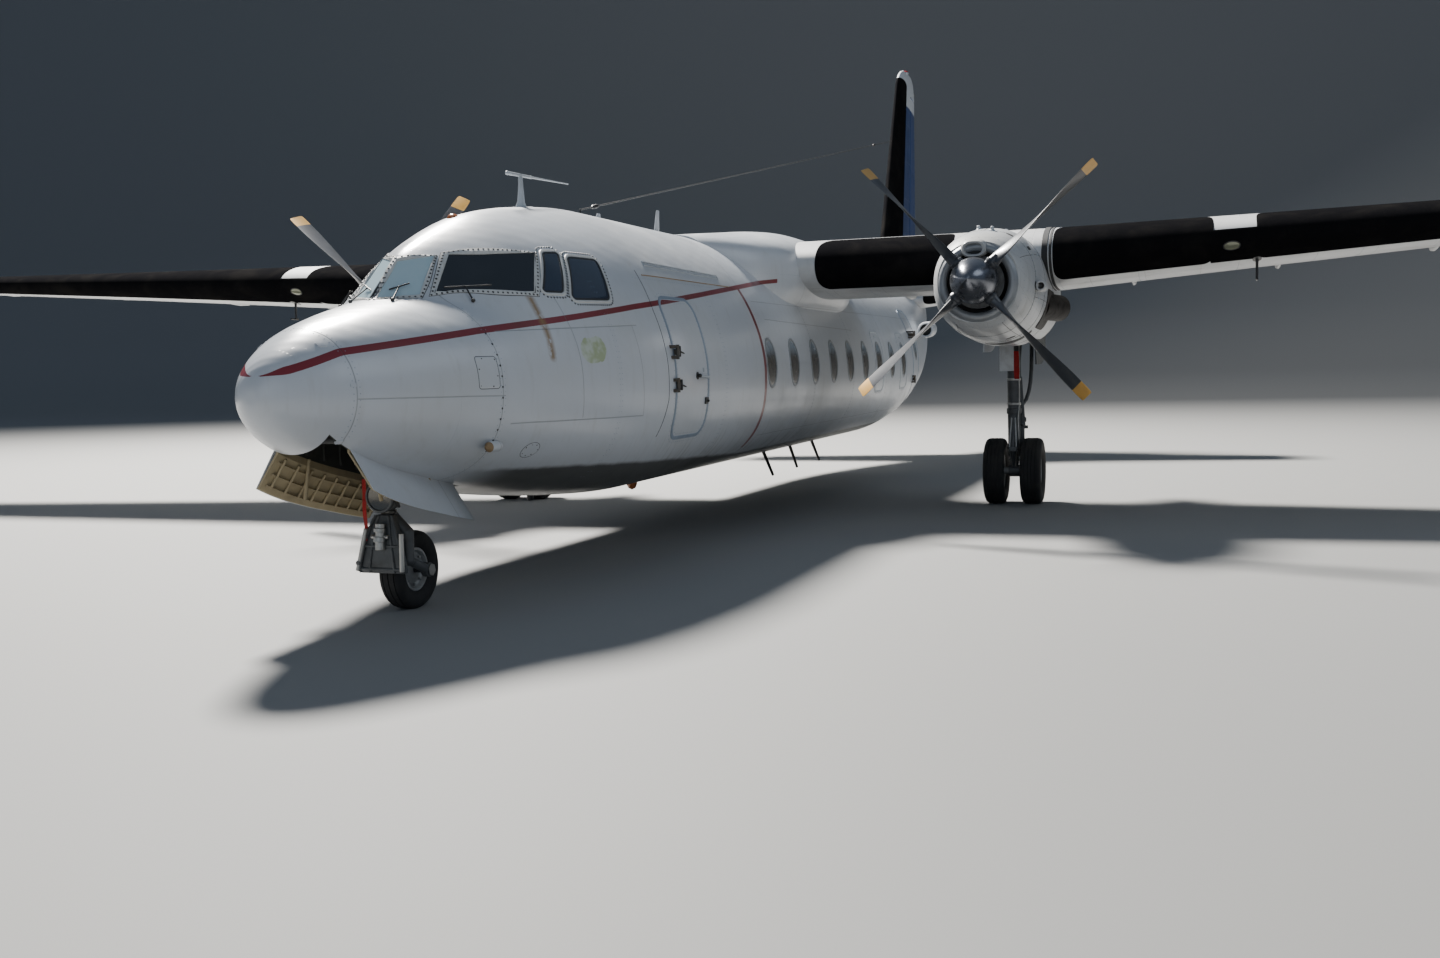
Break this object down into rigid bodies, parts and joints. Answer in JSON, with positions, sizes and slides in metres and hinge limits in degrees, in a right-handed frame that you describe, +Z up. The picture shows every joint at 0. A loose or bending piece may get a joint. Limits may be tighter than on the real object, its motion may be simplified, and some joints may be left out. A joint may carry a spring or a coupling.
{
  "type": "turboprop airliner",
  "caption": "High-winged airliner with a turboprop engine under each wing, parked on its tricycle gear; propellers, wheels, doors and control surfaces move.",
  "frame": {"origin": "on the ground below the middle of the bounding box, as the aircraft stands on its gear", "axes": "+X to the aircraft's left wing tip, +Y towards the tail, +Z up"},
  "size_m": [29, 23.5453, 8.2444],
  "materials": {
    "white_paint": "satin",
    "blue_paint": "satin",
    "grey_aluminium": "satin",
    "dark_paint": "satin",
    "polished_aluminium": "polished",
    "gear_grey": "satin",
    "engine_grey": "satin",
    "heated_steel": "matte",
    "primer_tan": "matte",
    "tyre_rubber": "matte",
    "cockpit_glass": "gloss"
  },
  "bodies": {
    "airframe": {"radome": "white_paint", "nose_section": "white_paint", "cockpit_section": "white_paint", "forward_fuselage": "white_paint", "centre_fuselage": "white_paint", "aft_fuselage": "white_paint", "tail_cone": "white_paint", "wing_fairing": "white_paint", "wing_centre": "white_paint", "fin": "blue_paint", "tailplane": "white_paint", "nose_gear_leg": "gear_grey", "windshield_port": "cockpit_glass", "windshield_starboard": "cockpit_glass", "cockpit_side_window_port": "cockpit_glass", "cockpit_side_window_starboard": "cockpit_glass", "wing_port": "white_paint", "wing_starboard": "white_paint", "nacelle_port": "white_paint", "nacelle_starboard": "white_paint", "exhaust_port": "heated_steel", "exhaust_starboard": "heated_steel", "engine_port": "engine_grey", "engine_starboard": "engine_grey", "main_gear_leg_port": "gear_grey", "main_gear_leg_starboard": "gear_grey", "main_gear_door_outer_port": "white_paint", "main_gear_door_outer_starboard": "white_paint", "main_gear_door_inner_port": "white_paint", "main_gear_door_inner_starboard": "white_paint", "nose_gear_door_port": "primer_tan", "nose_gear_door_starboard": "primer_tan"},
    "nose_gear_fork": {"nose_gear_fork": "gear_grey"},
    "nose_wheel": {"nose_wheel": "gear_grey", "nose_tyre": "tyre_rubber"},
    "rudder": {"rudder": "blue_paint"},
    "crew_door": {"crew_door": "white_paint"},
    "passenger_door": {"passenger_door": "white_paint"},
    "service_door": {"service_door": "white_paint"},
    "propeller_port": {"propeller_port": "dark_paint", "spinner_port": "polished_aluminium"},
    "main_wheels_port": {"main_wheels_port": "gear_grey", "main_tyre_outer_port": "tyre_rubber", "main_tyre_inner_port": "tyre_rubber"},
    "inner_flap_port": {"inner_flap_port": "grey_aluminium"},
    "outer_flap_port": {"outer_flap_port": "grey_aluminium"},
    "aileron_port": {"aileron_port": "grey_aluminium"},
    "elevator_port": {"elevator_port": "grey_aluminium"},
    "propeller_starboard": {"propeller_starboard": "dark_paint", "spinner_starboard": "polished_aluminium"},
    "main_wheels_starboard": {"main_wheels_starboard": "gear_grey", "main_tyre_outer_starboard": "tyre_rubber", "main_tyre_inner_starboard": "tyre_rubber"},
    "inner_flap_starboard": {"inner_flap_starboard": "grey_aluminium"},
    "outer_flap_starboard": {"outer_flap_starboard": "grey_aluminium"},
    "aileron_starboard": {"aileron_starboard": "grey_aluminium"},
    "elevator_starboard": {"elevator_starboard": "grey_aluminium"}
  },
  "joints": [
    {"name": "propeller_port", "type": "hinge", "parent": "airframe", "child": "propeller_port", "pos_m": [3.6, -4.55258, 2.70299], "axis": [0, -0.9999, -0.0105], "continuous": true},
    {"name": "propeller_starboard", "type": "hinge", "parent": "airframe", "child": "propeller_starboard", "pos_m": [-3.6, -4.55258, 2.70299], "axis": [0, -0.9999, -0.0105], "continuous": true},
    {"name": "nose_steering", "type": "hinge", "parent": "airframe", "child": "nose_gear_fork", "pos_m": [0, -10.22226, 0.73351], "axis": [0, -0.0105, 0.9999], "range_deg": [-60, 60]},
    {"name": "nose_wheel", "type": "hinge", "parent": "nose_gear_fork", "child": "nose_wheel", "pos_m": [0, -9.97776, 0.305], "axis": [1, 0, 0], "continuous": true},
    {"name": "main_wheels_port", "type": "hinge", "parent": "airframe", "child": "main_wheels_port", "pos_m": [3.6, -1.0086, 0.432], "axis": [1, 0, 0], "continuous": true},
    {"name": "main_wheels_starboard", "type": "hinge", "parent": "airframe", "child": "main_wheels_starboard", "pos_m": [-3.6, -1.0086, 0.432], "axis": [1, 0, 0], "continuous": true},
    {"name": "crew_door", "type": "hinge", "parent": "airframe", "child": "crew_door", "pos_m": [1.34939, -7.54367, 1.83662], "axis": [0, 0.0105, -0.9999], "range_deg": [0, 105]},
    {"name": "passenger_door", "type": "hinge", "parent": "airframe", "child": "passenger_door", "pos_m": [1.33614, 3.97518, 2.00725], "axis": [0, 0.0105, -0.9999], "range_deg": [0, 105]},
    {"name": "service_door", "type": "hinge", "parent": "airframe", "child": "service_door", "pos_m": [-1.33614, 3.97586, 1.94226], "axis": [0, -0.0105, 0.9999], "range_deg": [0, 105]},
    {"name": "inner_flap_port", "type": "hinge", "parent": "airframe", "child": "inner_flap_port", "pos_m": [2.215, -0.33418, 3.01933], "axis": [-1, 0, 0], "range_deg": [0, 35]},
    {"name": "inner_flap_starboard", "type": "hinge", "parent": "airframe", "child": "inner_flap_starboard", "pos_m": [-2.215, -0.33418, 3.01933], "axis": [-1, 0, 0], "range_deg": [0, 35]},
    {"name": "outer_flap_port", "type": "hinge", "parent": "airframe", "child": "outer_flap_port", "pos_m": [6.755, -0.5834, 3.15657], "axis": [-0.9938, 0.0973, -0.0536], "range_deg": [0, 35]},
    {"name": "outer_flap_starboard", "type": "hinge", "parent": "airframe", "child": "outer_flap_starboard", "pos_m": [-6.755, -0.5834, 3.15657], "axis": [-0.9938, -0.0973, 0.0536], "range_deg": [0, 35]},
    {"name": "aileron_port", "type": "hinge", "parent": "airframe", "child": "aileron_port", "pos_m": [11.6, -1.01869, 3.40501], "axis": [0.9936, -0.1014, 0.0497], "range_deg": [-20, 20]},
    {"name": "aileron_starboard", "type": "hinge", "parent": "airframe", "child": "aileron_starboard", "pos_m": [-11.6, -1.01869, 3.40501], "axis": [0.9936, 0.1014, -0.0497], "range_deg": [-20, 20]},
    {"name": "elevator_port", "type": "hinge", "parent": "airframe", "child": "elevator_port", "pos_m": [2.65, 9.4445, 3.4466], "axis": [0.9941, -0.0326, 0.1036], "range_deg": [-14, 23]},
    {"name": "elevator_starboard", "type": "hinge", "parent": "airframe", "child": "elevator_starboard", "pos_m": [-2.65, 9.4445, 3.4466], "axis": [0.9941, 0.0326, -0.1036], "range_deg": [-14, 23]},
    {"name": "rudder", "type": "hinge", "parent": "airframe", "child": "rudder", "pos_m": [0, 10.20611, 5.6977], "axis": [0, 0.1802, 0.9836], "range_deg": [-25, 25]}
  ],
  "couplings": [
    {"joint": "inner_flap_starboard", "follows": "inner_flap_port", "ratio": 1},
    {"joint": "outer_flap_port", "follows": "inner_flap_port", "ratio": 1},
    {"joint": "outer_flap_starboard", "follows": "inner_flap_port", "ratio": 1},
    {"joint": "aileron_starboard", "follows": "aileron_port", "ratio": -1},
    {"joint": "elevator_starboard", "follows": "elevator_port", "ratio": 1}
  ]
}
